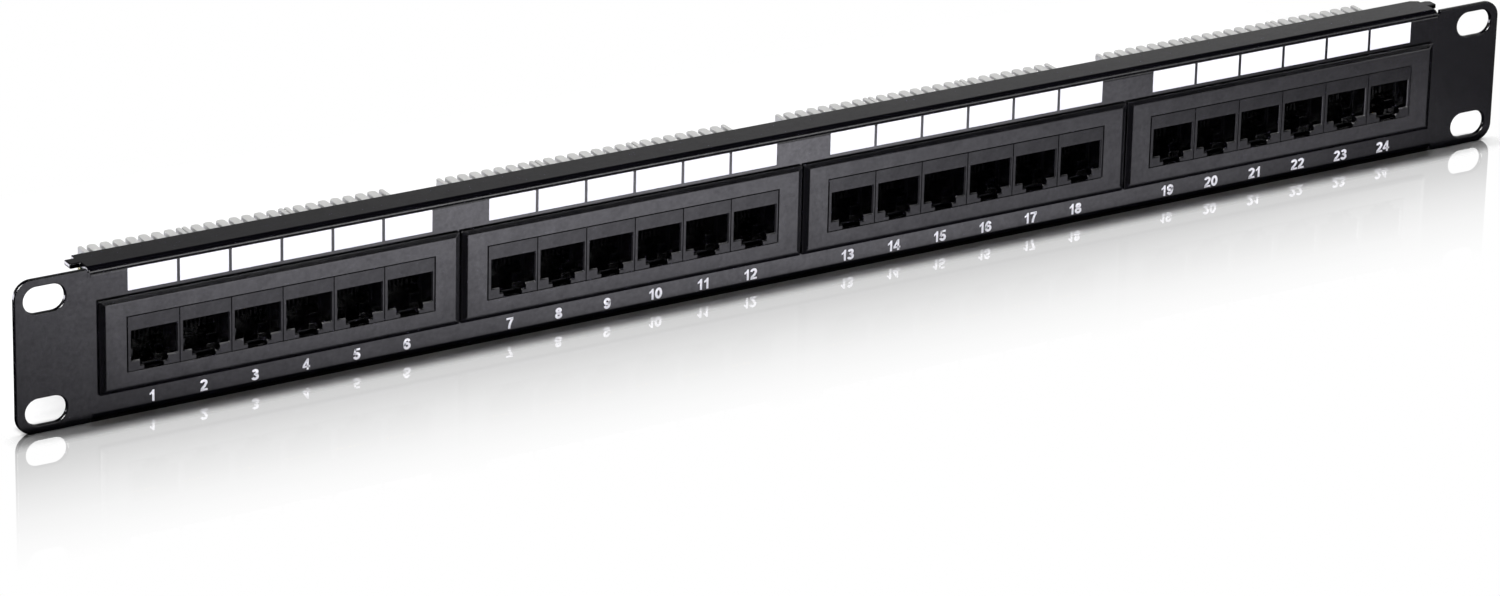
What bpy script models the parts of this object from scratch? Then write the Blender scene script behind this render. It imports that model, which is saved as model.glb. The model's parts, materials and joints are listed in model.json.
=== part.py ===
"""24-port rack patch panel, 1U high and 19 inches wide.

A bent steel front panel carries four identical port modules. Each module is a
plastic bezel with a rear skirt, six jack housings, a circuit board and six
8-way punch-down blocks in two rows on the back of the board.

Frame: X along the panel, +Y from the front to the back, +Z up. The origin is
the centre of the whole object's bounding box. All the sizes below are in
millimetres. A size named *_Y is a depth, or a (front, back) pair of depths,
measured backwards from the front face of the sheet.
"""

import math

import bmesh
import bpy
from mathutils import Matrix, Vector

MM = 0.001
OVERSHOOT = 2.0          # how far most cutters reach past what they cut

# --- rack panel (bent sheet) -------------------------------------------------
PANEL_W = 482.6          # 19 inch rack width
PANEL_H = 43.66          # 1U panel height
SHEET_T = 1.5
SHEET_CUT_Y = (-OVERSHOOT, 3.0)   # depth of the cutters that go through the sheet
EAR_CORNER_R = 5.0
BEND_R = 2.40            # outside radius of the two folds
BEND_SEGMENTS = 6
FLANGE_X = 219.4         # half length of the folded flanges
FLANGE_DEPTH = 11.5      # rear edge of the flanges
TAB_Y = (5.6, 9.3)       # small tab at each end of each flange
TAB_LENGTH = 3.0
CLIP_START = (217.0, FLANGE_DEPTH)            # (x, y) ends of the clipped
CLIP_END = (FLANGE_X + TAB_LENGTH, 8.55)      # rear corner, right end only
CLIP_LEAD = 0.4          # how far the clip's cutter starts before CLIP_START
RELIEF_W = 0.45          # width of the bend relief slits
SLOT_X = 232.55          # rack slots
SLOT_Z = 15.875
SLOT_L = 12.2
SLOT_W = 7.6
ARC_STEPS = 8            # per slot end and per ear corner

# --- modules -----------------------------------------------------------------
MODULE_COUNT = 4
MODULE_PITCH = 108.8
MODULE_Z = -1.0          # height of a module's centre
CUTOUT_W, CUTOUT_H = 101.0, 20.0
BASE_W, BASE_H = 108.2, 27.0
FACE_W, FACE_H = 105.0, 23.9
FACE_Y = -1.5            # front face of bezels and jacks
RIM_Y = -0.85            # front of the bezel's upright side, where it starts to slope
FACE_RISE = 0.25         # the front face sits a little above the base's centre
BASE_Y = -0.12           # back of the bezel's flange, just off the sheet
WINDOW_W, WINDOW_H = 92.6, 15.86
SKIRT_W, SKIRT_H = 100.4, 19.4
SKIRT_Y = (FACE_Y + 0.8, 13.7)
SKIRT_ROOM_H = 17.6      # height inside the skirt, behind the face
SKIRT_ROOM_Y = 0.2       # front of that space
BARB_X = 28.0
BARB_W = 6.0
BARB_H = 1.1             # above the skirt
BARB_SINK = 0.5          # how far a barb's root goes into the skirt
BARB_Y = (SHEET_T + 0.3, SHEET_T + 4.2)
BARB_CREST_Y = SHEET_T + 0.9      # back of the barb's flat crest
SLIT_W = 0.8             # slits through the skirt on both sides of a barb
SLIT_GAP = 0.3           # between a slit and its barb
SLIT_Y = SHEET_T + 0.8   # front end of the slits
SLIT_SINK = 1.0          # how far the slit's cutter starts inside the window's height
PEG_X, PEG_Z = 48.25, 6.5
PEG_R = 1.5
PEG_Y = (12.5, 16.9)
PEG_SIDES = 12

# --- circuit boards ----------------------------------------------------------
BOARD_W, BOARD_H = 104.5, 35.0
BOARD_Y = (14.0, 15.6)
PEG_HOLE_R = 1.85

# --- jack housings (heights are above the module's centre) ---------------------
JACKS_PER_MODULE = 6
JACK_PITCH = 15.38
JACK_W, JACK_H = 15.2, 15.6
JACK_Y = (FACE_Y, SKIRT_Y[1])
MOUTH_W = 13.5           # mouth of the front frame
MOUTH_TOP, MOUTH_SHELF = 3.8, -4.75
STEP1_W, STEP1_Z = 8.2, -6.4      # notch below the mouth, narrowing in steps
STEP2_W = 5.75
MOUTH_OVERSHOOT = 1.0    # of the mouth's cutter, to the front and below
LIP_Y = 1.1              # back of the front frame
RELIEF_CAVITY_W = 13.9   # wider space just behind the frame
RELIEF_CAVITY_Z = (-7.1, 4.6)
RELIEF_CAVITY_Y = (LIP_Y, 4.6)
PLUG_W = 11.95           # plug guide
PLUG_Z = (-4.2, 4.4)
LATCH_W = 6.6            # channel under the plug guide
LATCH_Z = RELIEF_CAVITY_Z[0]
CAVITY_Y = 12.4          # back of the plug guide and latch channel
CAVITY_OVERLAP = 0.2     # shared by neighbouring cutters

# --- punch-down blocks -------------------------------------------------------
BLOCK_COLUMNS = 3
BLOCK_PITCH = 30.9
BLOCK_W = 30.6
BLOCK_Y = (15.9, 28.7)
BLOCK_ROOT_Y = 21.0      # bottom of the wire slots
BLOCK_Z = (5.4, 16.4)    # upper row, from the panel's centre; the lower is its mirror image
TOOTH_PITCH = 3.81
WAYS = 8
WIRE_SLOT_W = 1.06
TIP_R = 1.15
TIP_SEGMENTS = 2
TIP_MARGIN = 0.05        # least half width of the flat on a tooth's tip

# The sheet's front face lies here, so that the origin is the box's centre.
FRONT = -(FACE_Y + BLOCK_Y[1]) / 2.0

NAME = "patch_panel"

# Side along X, side along Z, and the name of that corner.
CORNERS = ((-1, -1, "left_low"), (-1, 1, "left_high"), (1, -1, "right_low"), (1, 1, "right_high"))


# --- scene and materials -------------------------------------------------------
def clear_scene():
    for ob in list(bpy.data.objects):
        bpy.data.objects.remove(ob, do_unlink=True)


def make_collection(name):
    coll = bpy.data.collections.new(name)
    bpy.context.scene.collection.children.link(coll)
    return coll


def material(name, color, roughness):
    mat = bpy.data.materials.new(name)
    mat.use_nodes = True
    shader = mat.node_tree.nodes["Principled BSDF"]
    shader.inputs["Base Color"].default_value = (*color, 1.0)
    shader.inputs["Roughness"].default_value = roughness
    mat.diffuse_color = (*color, 1.0)
    return mat


clear_scene()
PARTS = make_collection(NAME)
CUTTERS = make_collection("cutters")

MAT_PANEL = material("black_powder_coat", color=(0.030, 0.030, 0.033), roughness=0.42)
MAT_BEZEL = material("black_bezel_plastic", color=(0.028, 0.028, 0.030), roughness=0.50)
MAT_JACK = material("black_jack_plastic", color=(0.022, 0.022, 0.024), roughness=0.45)
MAT_BOARD = material("green_board", color=(0.020, 0.160, 0.060), roughness=0.45)
MAT_BLOCK = material("light_grey_plastic", color=(0.680, 0.680, 0.670), roughness=0.50)


# --- object helpers --------------------------------------------------------------
def add_object(collection, name, mesh, parent, location):
    ob = bpy.data.objects.new(name, mesh)
    collection.objects.link(ob)
    ob.location = Vector(location) * MM
    ob.parent = parent
    return ob


def add_part(name, mesh, mat, parent, location=(0.0, 0.0, 0.0)):
    if not mesh.materials:
        mesh.materials.append(mat)
    return add_object(PARTS, name, mesh, parent, location)


def add_boolean(target, name, mesh, parent, location=(0.0, 0.0, 0.0), turn=0.0,
                operation="DIFFERENCE"):
    """Apply a hidden helper to the target; turn is its angle about Y in degrees."""
    tool = add_object(CUTTERS, name, mesh, parent, location)
    tool.rotation_euler[1] = math.radians(turn)
    tool.hide_render = True
    tool.display_type = "WIRE"
    mod = target.modifiers.new(tool.name, "BOOLEAN")
    mod.operation = operation
    mod.solver = "EXACT"
    mod.object = tool


# --- mesh helpers ------------------------------------------------------------------
def finish_mesh(bm, name):
    mesh = bpy.data.meshes.new(name)
    bm.to_mesh(mesh)
    bm.free()
    return mesh


def centred(width):
    return (-width / 2, width / 2)


def box_mesh(name, x, y, z):
    """A box between the given pairs of limits."""
    bm = bmesh.new()
    bmesh.ops.create_cube(bm, size=1.0)
    size = [(high - low) * MM for low, high in (x, y, z)]
    middle = [(low + high) / 2 * MM for low, high in (x, y, z)]
    bmesh.ops.scale(bm, verts=bm.verts, vec=size)
    bmesh.ops.translate(bm, verts=bm.verts, vec=middle)
    return finish_mesh(bm, name)


def peg_mesh(name, radius, y):
    """A round peg along Y."""
    bm = bmesh.new()
    bmesh.ops.create_cone(bm, cap_ends=True, segments=PEG_SIDES, radius1=radius * MM,
                          radius2=radius * MM, depth=(y[1] - y[0]) * MM)
    bmesh.ops.rotate(bm, verts=bm.verts, cent=(0, 0, 0),
                     matrix=Matrix.Rotation(math.pi / 2, 3, "X"))
    bmesh.ops.translate(bm, verts=bm.verts, vec=(0, (y[0] + y[1]) / 2 * MM, 0))
    return finish_mesh(bm, name)


# For each plane of an outline: the turn that lays XY into it, and the axis across it.
PLANES = {
    "XY": (Matrix.Identity(4), Vector((0, 0, 1))),
    "XZ": (Matrix.Rotation(math.pi / 2, 4, "X"), Vector((0, 1, 0))),
    "YZ": (Matrix(((0, 0, 1, 0), (1, 0, 0, 0), (0, 1, 0, 0), (0, 0, 0, 1))), Vector((1, 0, 0))),
}


def outline_mesh(name, points, limits, plane="XZ"):
    """A flat outline in the given plane, filled and thickened between the limits."""
    low, high = limits
    curve = bpy.data.curves.new(name, "CURVE")
    curve.dimensions = "2D"
    curve.fill_mode = "BOTH"
    curve.extrude = (high - low) / 2 * MM
    spline = curve.splines.new("POLY")
    spline.points.add(len(points) - 1)
    for point, (across, along) in zip(spline.points, points):
        point.co = (across * MM, along * MM, 0.0, 1.0)
    spline.use_cyclic_u = True
    temp = bpy.data.objects.new(name + "_outline", curve)
    PARTS.objects.link(temp)
    bpy.context.view_layer.update()
    graph = bpy.context.evaluated_depsgraph_get()
    mesh = bpy.data.meshes.new_from_object(temp.evaluated_get(graph))
    bpy.data.objects.remove(temp, do_unlink=True)

    bm = bmesh.new()
    bm.from_mesh(mesh)
    bmesh.ops.remove_doubles(bm, verts=bm.verts, dist=1e-6)
    turn, axis = PLANES[plane]
    shift = Matrix.Translation(axis * ((low + high) / 2 * MM))
    bmesh.ops.transform(bm, matrix=shift @ turn, verts=bm.verts)
    bmesh.ops.recalc_face_normals(bm, faces=bm.faces)
    bm.to_mesh(mesh)
    bm.free()
    mesh.materials.clear()
    return mesh


def arc(centre_x, centre_y, radius, start, end, steps):
    """Points of an arc between two angles in degrees."""
    points = []
    for i in range(steps + 1):
        angle = math.radians(start + (end - start) * i / steps)
        points.append((centre_x + radius * math.cos(angle), centre_y + radius * math.sin(angle)))
    return points


# --- front panel ---------------------------------------------------------------
def panel_profile():
    """(y, z) points of the folded sheet's outer side, from the lower flange's
    rear edge, over the front, to the upper flange's rear edge."""
    half = PANEL_H / 2
    fold = half - BEND_R
    upper = [(0.0, fold)]
    for i in range(1, BEND_SEGMENTS + 1):
        angle = math.pi / 2 * i / BEND_SEGMENTS
        upper.append((BEND_R * (1 - math.cos(angle)), fold + BEND_R * math.sin(angle)))
    upper += [(TAB_Y[0], half), (TAB_Y[1], half), (FLANGE_DEPTH, half)]
    return [(y, -z) for y, z in reversed(upper)] + upper


def extrude_edges(bm, edges, offset):
    """Extrude the edges and move the new ones by an offset in millimetres."""
    made = bmesh.ops.extrude_edge_only(bm, edges=edges)["geom"]
    verts = [item for item in made if isinstance(item, bmesh.types.BMVert)]
    bmesh.ops.translate(bm, verts=verts, vec=[part * MM for part in offset])


def extrude_where(bm, pick, offset):
    """Extrude the edges whose two vertices are both picked."""
    edges = [edge for edge in bm.edges if all(pick(vert.co) for vert in edge.verts)]
    extrude_edges(bm, edges, offset)


def at(coordinate, size):
    return abs(coordinate - size * MM) < 1e-6


def panel_skin():
    """The outer skin of the folded sheet, open, to be thickened inwards."""
    half = PANEL_H / 2
    fold = half - BEND_R
    slack = 0.01         # tolerance when picking vertices
    bm = bmesh.new()
    row = [bm.verts.new((-FLANGE_X * MM, y * MM, z * MM)) for y, z in panel_profile()]
    edges = [bm.edges.new(pair) for pair in zip(row, row[1:])]
    extrude_edges(bm, edges, (2 * FLANGE_X, 0, 0))

    for side in (-1, 1):
        # The web past the fold, then the ear, then its top and bottom strips: the
        # slit left between strip and flange is the bend relief.
        flange_end = side * FLANGE_X
        extrude_where(
            bm, lambda co: at(co.x, flange_end) and at(co.y, 0) and abs(co.z) < (fold + slack) * MM,
            (side * RELIEF_W, 0, 0))
        ear_start = side * (FLANGE_X + RELIEF_W)
        extrude_where(bm, lambda co: at(co.x, ear_start) and at(co.y, 0),
                      (side * PANEL_W / 2 - ear_start, 0, 0))
        for up in (-1, 1):
            extrude_where(
                bm, lambda co: (at(co.y, 0) and at(co.z, up * fold)
                                and side * co.x > (FLANGE_X + RELIEF_W - slack) * MM),
                (0, 0, up * BEND_R))
            # the tab at the flange's end
            extrude_where(
                bm, lambda co: (at(co.x, flange_end) and at(co.z, up * half)
                                and (TAB_Y[0] - slack) * MM < co.y < (TAB_Y[1] + slack) * MM),
                (side * TAB_LENGTH, 0, 0))
    bmesh.ops.recalc_face_normals(bm, faces=bm.faces)
    # The largest face is the front one: its normal has to point to the front.
    front = max(bm.faces, key=lambda face: face.calc_area())
    if front.normal.y > 0:
        bmesh.ops.reverse_faces(bm, faces=bm.faces)
    return finish_mesh(bm, "front_panel")


def rack_slot_mesh():
    radius = SLOT_W / 2
    centre = SLOT_L / 2 - radius
    points = (arc(centre, 0, radius, -90, 90, ARC_STEPS)
              + arc(-centre, 0, radius, 90, 270, ARC_STEPS))
    return outline_mesh("rack_slot", points, SHEET_CUT_Y)


def ear_corner_mesh():
    """What is cut off the upper right corner, seen from the corner's point."""
    radius = EAR_CORNER_R
    points = ([(OVERSHOOT, OVERSHOOT), (-radius, OVERSHOOT)]
              + arc(-radius, -radius, radius, 90, 0, ARC_STEPS)
              + [(OVERSHOOT, -radius)])
    return outline_mesh("ear_corner", points, SHEET_CUT_Y)


def flange_clip_mesh():
    """Cuts the sloping rear corner of both flanges, at the right end."""
    (x0, y0), (x1, y1) = CLIP_START, CLIP_END
    slope = (y1 - y0) / (x1 - x0)
    left, right, back = x0 - CLIP_LEAD, x1 + OVERSHOOT, y0 + OVERSHOOT
    points = [(left, y0 - CLIP_LEAD * slope), (right, y1 + OVERSHOOT * slope),
              (right, back), (left, back)]
    return outline_mesh("flange_corner", points, (-PANEL_H, PANEL_H), "XY")


def build_panel(root):
    panel = add_part("front_panel", panel_skin(), MAT_PANEL, root)
    solid = panel.modifiers.new("sheet", "SOLIDIFY")
    solid.thickness = SHEET_T * MM
    solid.offset = -1.0
    solid.use_even_offset = True

    window = box_mesh("panel_window", centred(CUTOUT_W), SHEET_CUT_Y, centred(CUTOUT_H))
    for i in range(MODULE_COUNT):
        add_boolean(panel, f"window_{i + 1}", window, root, (module_x(i), 0, MODULE_Z))

    slot = rack_slot_mesh()
    corner = ear_corner_mesh()
    # The corner cutter is turned, not mirrored, to keep its faces the right way round.
    corner_turns = {"right_high": 0, "right_low": 90, "left_low": 180, "left_high": 270}
    for side, up, tag in CORNERS:
        add_boolean(panel, "slot_" + tag, slot, root, (side * SLOT_X, 0, up * SLOT_Z))
        add_boolean(panel, "corner_" + tag, corner, root,
                    (side * PANEL_W / 2, 0, up * PANEL_H / 2), corner_turns[tag])
    add_boolean(panel, "flange_corner_right", flange_clip_mesh(), root)


# --- bezels --------------------------------------------------------------------
def bezel_mesh():
    """The bezel's front flange: low upright sides, then a slope in to the face."""
    # depth, width, height and rise of each ring, from back to front
    sections = (
        (BASE_Y, BASE_W, BASE_H, 0.0),
        (RIM_Y, BASE_W, BASE_H, 0.0),
        (FACE_Y, FACE_W, FACE_H, FACE_RISE),
    )
    bm = bmesh.new()
    rings = []
    for y, width, height, rise in sections:
        rings.append([bm.verts.new((side * width / 2 * MM, y * MM, (up * height / 2 + rise) * MM))
                      for side, up in ((-1, -1), (1, -1), (1, 1), (-1, 1))])
    bm.faces.new(rings[0])
    bm.faces.new(rings[-1])
    for back, front in zip(rings, rings[1:]):
        for i in range(4):
            j = (i + 1) % 4
            bm.faces.new((back[i], back[j], front[j], front[i]))
    bmesh.ops.recalc_face_normals(bm, faces=bm.faces)
    return finish_mesh(bm, "bezel")


def barb_mesh():
    """A wedge on top of the skirt, steep in front and sloping to the back."""
    top = SKIRT_H / 2
    front, back = BARB_Y
    points = [(front, top - BARB_SINK), (front, top + BARB_H),
              (BARB_CREST_Y, top + BARB_H), (back, top - BARB_SINK)]
    return outline_mesh("barb", points, centred(BARB_W), "YZ")


def build_bezels(modules):
    plate = bezel_mesh()
    skirt = box_mesh("skirt", centred(SKIRT_W), SKIRT_Y, centred(SKIRT_H))
    past_skirt = SKIRT_Y[1] + OVERSHOOT
    window = box_mesh("bezel_window", centred(WINDOW_W), (FACE_Y - OVERSHOOT, past_skirt),
                      centred(WINDOW_H))
    room = box_mesh("skirt_room", centred(WINDOW_W), (SKIRT_ROOM_Y, past_skirt),
                    centred(SKIRT_ROOM_H))
    barb = barb_mesh()
    slit = box_mesh("slit", centred(SLIT_W), (SLIT_Y, past_skirt),
                    (WINDOW_H / 2 - SLIT_SINK, SKIRT_H / 2 + OVERSHOOT))
    slit_offset = BARB_W / 2 + SLIT_GAP + SLIT_W / 2
    peg = peg_mesh("peg", PEG_R, PEG_Y)
    lower_turns = {1: 0, -1: 180}     # barbs and slits are turned over for the underside

    for number, module in enumerate(modules, 1):
        bezel = add_part(f"bezel_{number}", plate, MAT_BEZEL, module)
        add_boolean(bezel, f"skirt_{number}", skirt, module, operation="UNION")
        for side, up, corner in CORNERS:
            add_boolean(bezel, f"barb_{number}_{corner}", barb, module,
                        (side * BARB_X, 0, 0), lower_turns[up], "UNION")
            add_boolean(bezel, f"peg_{number}_{corner}", peg, module,
                        (side * PEG_X, 0, up * PEG_Z), operation="UNION")
        add_boolean(bezel, f"bezel_window_{number}", window, module)
        add_boolean(bezel, f"skirt_room_{number}", room, module)
        for side, up, _ in CORNERS:
            for edge in (-1, 1):
                add_boolean(bezel, f"slit_{number}_{side}_{up}_{edge}", slit, module,
                            (side * BARB_X + edge * slit_offset, 0, 0), lower_turns[up])


# --- circuit boards ------------------------------------------------------------
def build_boards(modules):
    """Boards centred on the panel's height; their holes follow the bezel's pegs."""
    mesh = box_mesh("circuit_board", centred(BOARD_W), BOARD_Y, centred(BOARD_H))
    hole = peg_mesh("peg_hole", PEG_HOLE_R, (BOARD_Y[0] - OVERSHOOT, BOARD_Y[1] + OVERSHOOT))
    for number, module in enumerate(modules, 1):
        board = add_part(f"circuit_board_{number}", mesh, MAT_BOARD, module, (0, 0, -MODULE_Z))
        for side, up, _ in CORNERS:
            add_boolean(board, f"peg_hole_{number}_{side}_{up}", hole, module,
                        (side * PEG_X, 0, up * PEG_Z))


# --- jack housings -------------------------------------------------------------
def mouth_mesh():
    """The front opening, with a stepped notch that runs out through the bottom."""
    bottom = -JACK_H / 2 - MOUTH_OVERSHOOT
    right_side = [(STEP2_W / 2, bottom), (STEP2_W / 2, STEP1_Z), (STEP1_W / 2, STEP1_Z),
                  (STEP1_W / 2, MOUTH_SHELF), (MOUTH_W / 2, MOUTH_SHELF), (MOUTH_W / 2, MOUTH_TOP)]
    left_side = [(-x, z) for x, z in reversed(right_side)]
    return outline_mesh("mouth", left_side + right_side,
                        (FACE_Y - MOUTH_OVERSHOOT, LIP_Y + CAVITY_OVERLAP))


def build_jacks(modules):
    body = box_mesh("jack_housing", centred(JACK_W), JACK_Y, centred(JACK_H))
    deep_y = (RELIEF_CAVITY_Y[1] - CAVITY_OVERLAP, CAVITY_Y)
    cutters = (
        ("mouth", mouth_mesh()),
        ("relief", box_mesh("relief", centred(RELIEF_CAVITY_W), RELIEF_CAVITY_Y,
                            RELIEF_CAVITY_Z)),
        ("plug", box_mesh("plug_guide", centred(PLUG_W), deep_y, PLUG_Z)),
        ("latch", box_mesh("latch_channel", centred(LATCH_W), deep_y,
                           (LATCH_Z, PLUG_Z[0] + CAVITY_OVERLAP))),
    )
    number = 0
    for module in modules:
        for i in range(JACKS_PER_MODULE):
            number += 1
            place = ((i - (JACKS_PER_MODULE - 1) / 2) * JACK_PITCH, 0, 0)
            jack = add_part(f"jack_housing_{number:02d}", body, MAT_JACK, module, place)
            for label, mesh in cutters:
                add_boolean(jack, f"{label}_{number:02d}", mesh, module, place)


# --- punch-down blocks -----------------------------------------------------------
def block_outline():
    """Top view of a block: a solid foot, then teeth with rounded tips and the
    wire slots between them."""
    foot, tip = BLOCK_Y
    half, slot_half = BLOCK_W / 2, WIRE_SLOT_W / 2
    slots = [(i - (WAYS - 1) / 2) * TOOTH_PITCH for i in range(WAYS)]
    lefts = [-half] + [x + slot_half for x in slots]
    rights = [x - slot_half for x in slots] + [half]
    points = [(half, foot), (-half, foot)]
    for i, (left, right) in enumerate(zip(lefts, rights)):
        radius = min(TIP_R, (right - left) / 2 - TIP_MARGIN)
        if i > 0:
            points.append((left, BLOCK_ROOT_Y))
        points += arc(left + radius, tip - radius, radius, 180, 90, TIP_SEGMENTS)
        points += arc(right - radius, tip - radius, radius, 90, 0, TIP_SEGMENTS)
        if i < WAYS:
            points.append((right, BLOCK_ROOT_Y))
    return points


def build_blocks(modules):
    outline = block_outline()
    low, high = BLOCK_Z
    rows = [
        (row, outline_mesh(f"idc_block_{row}", outline,
                           (bottom - MODULE_Z, top - MODULE_Z), "XY"))
        for row, bottom, top in (("upper", low, high), ("lower", -high, -low))
    ]
    number = 0
    for module in modules:
        for column in range(BLOCK_COLUMNS):
            number += 1
            x = (column - (BLOCK_COLUMNS - 1) / 2) * BLOCK_PITCH
            for row, mesh in rows:
                add_part(f"idc_block_{row}_{number:02d}", mesh, MAT_BLOCK, module, (x, 0, 0))


# --- assembly ----------------------------------------------------------------------
def module_x(index):
    return (index - (MODULE_COUNT - 1) / 2) * MODULE_PITCH


def main():
    root = add_object(PARTS, "panel_frame", None, None, (0.0, FRONT, 0.0))
    modules = [add_object(PARTS, f"module_{i + 1}", None, root, (module_x(i), 0, MODULE_Z))
               for i in range(MODULE_COUNT)]
    build_panel(root)
    build_bezels(modules)
    build_boards(modules)
    build_jacks(modules)
    build_blocks(modules)
    bpy.context.view_layer.update()


main()
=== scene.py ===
"""Looks of a 24-port rack patch panel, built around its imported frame.

The panel stands upright with its width along X and its front facing -Y. Four
modules of six jacks sit side by side in the folded sheet, each with a circuit
board and punch-down blocks behind it. Every visible piece is rebuilt at a finer
scale than the frame's solids.

Sizes are in millimetres unless a comment says otherwise, and MM turns them into
metres. In the pieces, Y is measured backwards from the front face of the sheet.
"""

import json
import math

import bmesh
import bpy
from mathutils import Matrix, Vector

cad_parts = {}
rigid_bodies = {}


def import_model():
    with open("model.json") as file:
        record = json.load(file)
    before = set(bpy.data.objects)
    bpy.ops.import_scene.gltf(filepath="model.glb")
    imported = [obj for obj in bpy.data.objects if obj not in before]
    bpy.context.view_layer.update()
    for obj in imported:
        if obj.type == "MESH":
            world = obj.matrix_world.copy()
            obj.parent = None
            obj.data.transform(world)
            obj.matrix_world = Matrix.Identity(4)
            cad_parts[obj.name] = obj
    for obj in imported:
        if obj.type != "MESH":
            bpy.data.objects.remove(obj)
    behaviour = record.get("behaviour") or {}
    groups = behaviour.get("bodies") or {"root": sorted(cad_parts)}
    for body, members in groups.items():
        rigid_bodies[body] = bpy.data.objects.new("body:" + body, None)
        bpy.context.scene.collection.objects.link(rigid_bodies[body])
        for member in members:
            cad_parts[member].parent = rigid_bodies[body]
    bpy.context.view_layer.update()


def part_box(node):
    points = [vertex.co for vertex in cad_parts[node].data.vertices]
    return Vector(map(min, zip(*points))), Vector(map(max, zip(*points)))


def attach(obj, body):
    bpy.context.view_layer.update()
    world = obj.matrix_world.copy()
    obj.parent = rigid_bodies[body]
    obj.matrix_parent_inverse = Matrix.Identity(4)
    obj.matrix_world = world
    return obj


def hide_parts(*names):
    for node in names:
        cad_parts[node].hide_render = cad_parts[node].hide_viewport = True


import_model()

MM = 0.001


def spread(count, pitch):
    """Positions at an even pitch, centred on zero."""
    return [(i - (count - 1) / 2) * pitch for i in range(count)]


def centred(width):
    return -width / 2, width / 2


def node_centre(node):
    low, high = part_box(node)
    return (low + high) / 2 / MM


# --- where things are, from the frame ---------------------------------------------
PANEL_LO, PANEL_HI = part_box("front_panel")
FRONT = PANEL_LO.y / MM                     # front face of the sheet
PANEL_W = (PANEL_HI.x - PANEL_LO.x) / MM
PANEL_H = (PANEL_HI.z - PANEL_LO.z) / MM
FLOOR_Z = PANEL_LO.z / MM
MODULES = [node_centre(f"bezel_{i + 1}") for i in range(4)]
MODULE_Z = MODULES[0].z
JACKS = [node_centre(f"jack_housing_{n:02d}") for n in range(1, 25)]

# --- sizes, the same as the frame's -------------------------------------------------
# folded sheet
SHEET_T = 1.5
EAR_CORNER_R = 5.0
BEND_R = 2.4
FOLD_Z = PANEL_H / 2 - BEND_R               # where the flat front starts to bend
FLANGE_X = 219.4
FLANGE_DEPTH = (PANEL_HI.y - PANEL_LO.y) / MM
TAB_Y = (5.6, 9.3)
TAB_LENGTH = 3.0
TAB_CHAMFER = ((217.0, 11.5), (222.4, 8.55))    # two (x, y) points on the slanted cut
RELIEF_W = 0.45
SLOT_X, SLOT_Z, SLOT_L, SLOT_W = 232.55, 15.875, 12.2, 7.6
CUTOUT_W, CUTOUT_H = 101.0, 20.0
# bezels
BASE_W, BASE_H = 108.2, 27.0
FACE_W, FACE_H = 105.0, 23.9
FACE_Y, RIM_Y, BASE_Y, FACE_RISE = -1.5, -0.85, -0.12, 0.25
WINDOW_W, WINDOW_H = 92.6, 15.86
SKIRT_W, SKIRT_H, SKIRT_Y = 100.4, 19.4, 13.7
SKIRT_ROOM_H, SKIRT_ROOM_Y = 17.6, 0.2
BARB_X, BARB_W, BARB_H, SLIT_W = 28.0, 6.0, 1.1, 0.8
PEG_X, PEG_Z, PEG_R, PEG_Y, PEG_DOME = 48.25, 6.5, 1.5, (12.5, 16.9), 0.45
# circuit boards
BOARD_W, BOARD_H, BOARD_Y, PEG_HOLE_R = 104.5, 35.0, (14.0, 15.6), 1.85
# jacks
JACK_PITCH, JACK_W, JACK_H, JACK_Y = 15.38, 15.2, 15.6, (-1.5, 13.7)
OPEN_W, OPEN_TOP, OPEN_SHELF = 13.5, 3.8, -4.75
STEP1_W, STEP1_Z, STEP2_W, LIP_Y = 8.2, -6.4, 5.75, 1.1
RELIEF_CAVITY_W, RELIEF_CAVITY_Z, RELIEF_CAVITY_Y = 13.9, (-7.1, 4.6), 4.6
PLUG_W, PLUG_Z, LATCH_W, LATCH_Z, CAVITY_Y = 11.95, (-4.2, 4.4), 6.6, -7.1, 12.4
WIRE_X = spread(8, pitch=1.27)
# punch-down blocks
BLOCK_W, BLOCK_Y, BLOCK_ROOT_Y, BLOCK_Z = 30.6, (15.9, 28.7), 21.0, (5.4, 16.4)
BLOCK_PITCH = 30.9
WIRE_SLOT_W, TIP_R = 1.06, 1.15
WAY_X = spread(8, pitch=3.81)
# printed areas on the sheet
LABEL_Z = (13.72, 20.05)
LABEL_PITCH, LABEL_GAP, LABEL_SHIFT = 15.36, 0.92, 0.45
NUMBER_Z = (-19.22, -15.98)
INK_Y = (-0.035, -0.002)

CLEAR = 2.0                                 # how far cutters reach past a surface
SHEET_CUT_Y = (-2, 3)                       # depth of the cutters through the front
CORNERS = ((-1, -1), (-1, 1), (1, -1), (1, 1))      # signs of (x, z)

LOOKS = bpy.data.collections.new("looks")
STAGE = bpy.data.collections.new("stage")
TOOLS = bpy.data.collections.new("tools")
for collection in (LOOKS, STAGE, TOOLS):
    bpy.context.scene.collection.children.link(collection)


# --- outlines -----------------------------------------------------------------------
def oval_arc(x, z, radius_x, radius_z, start, end, steps):
    """Points along part of an ellipse; angles in degrees."""
    angles = [math.radians(start + (end - start) * i / steps) for i in range(steps + 1)]
    return [(x + radius_x * math.cos(a), z + radius_z * math.sin(a)) for a in angles]


def arc(x, z, radius, start, end, steps):
    return oval_arc(x, z, radius, radius, start, end, steps)


def stadium(length, width, steps=20):
    radius = width / 2
    end_x = length / 2 - radius
    return arc(end_x, 0, radius, -90, 90, steps) + arc(-end_x, 0, radius, 90, 270, steps)


def round_rect(x, z, radius, steps):
    x0, x1 = x[0] + radius, x[1] - radius
    z0, z1 = z[0] + radius, z[1] - radius
    return (arc(x1, z0, radius, -90, 0, steps) + arc(x1, z1, radius, 0, 90, steps)
            + arc(x0, z1, radius, 90, 180, steps) + arc(x0, z0, radius, 180, 270, steps))


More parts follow.
